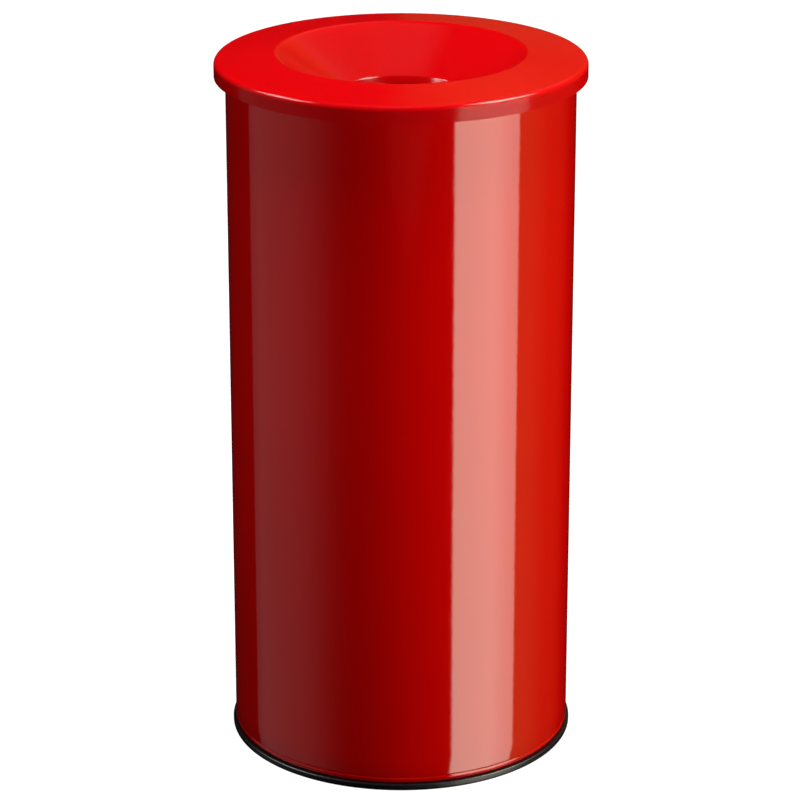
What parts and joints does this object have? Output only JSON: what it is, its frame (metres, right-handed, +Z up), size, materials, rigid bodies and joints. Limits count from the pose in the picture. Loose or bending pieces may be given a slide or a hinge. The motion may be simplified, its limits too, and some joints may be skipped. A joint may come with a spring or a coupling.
{
  "type": "self-extinguishing waste can",
  "caption": "Tall cylindrical steel waste can with a lift-off funnel head that smothers flames, a black foot ring, and a lift-out liner with drop handles.",
  "frame": {"origin": "on the floor at the can's vertical axis", "axes": "+Z up along the can's axis, -Y towards the front, +X to the right as seen from the front"},
  "size_m": [0.335, 0.335, 0.654],
  "materials": {
    "red_paint": "deep gloss red enamel on rolled steel sheet",
    "red_moulding": "satin bright red moulding with a fine grain",
    "black_vinyl": "smooth black vinyl with a low sheen",
    "galvanised": "galvanised steel sheet with a faint spangle",
    "zinc_wire": "bright zinc-plated steel wire and fasteners"
  },
  "bodies": {
    "can": {"body_shell": "red_paint", "body_rim_wire": "zinc_wire", "bottom_plate": "red_paint", "base_ring": "black_vinyl"},
    "liner": {"liner_shell": "galvanised", "liner_rim_wire": "zinc_wire", "liner_floor": "galvanised", "handle_strap_left": "galvanised", "handle_strap_right": "galvanised", "strap_rivet_left_front": "zinc_wire", "strap_rivet_left_back": "zinc_wire", "strap_rivet_right_front": "zinc_wire", "strap_rivet_right_back": "zinc_wire"},
    "handle_left": {"handle_left": "zinc_wire"},
    "handle_right": {"handle_right": "zinc_wire"},
    "head": {"head": "red_moulding", "head_clip_1": "zinc_wire", "head_clip_2": "zinc_wire", "head_clip_3": "zinc_wire", "clip_rivet_1": "zinc_wire", "clip_rivet_2": "zinc_wire", "clip_rivet_3": "zinc_wire"}
  },
  "joints": [
    {"name": "liner_lift", "type": "slide", "parent": "can", "child": "liner", "axis": [0, 0, 1], "range_m": [0, 0.64]},
    {"name": "head_lift", "type": "slide", "parent": "liner", "child": "head", "axis": [0, 0, 1], "range_m": [0, 0.25]},
    {"name": "handle_left_swing", "type": "hinge", "parent": "liner", "child": "handle_left", "pos_m": [-0.135, 0, 0.582], "axis": [0, -1, 0], "range_deg": [0, 160]},
    {"name": "handle_right_swing", "type": "hinge", "parent": "liner", "child": "handle_right", "pos_m": [0.135, 0, 0.582], "axis": [0, 1, 0], "range_deg": [0, 160]}
  ]
}
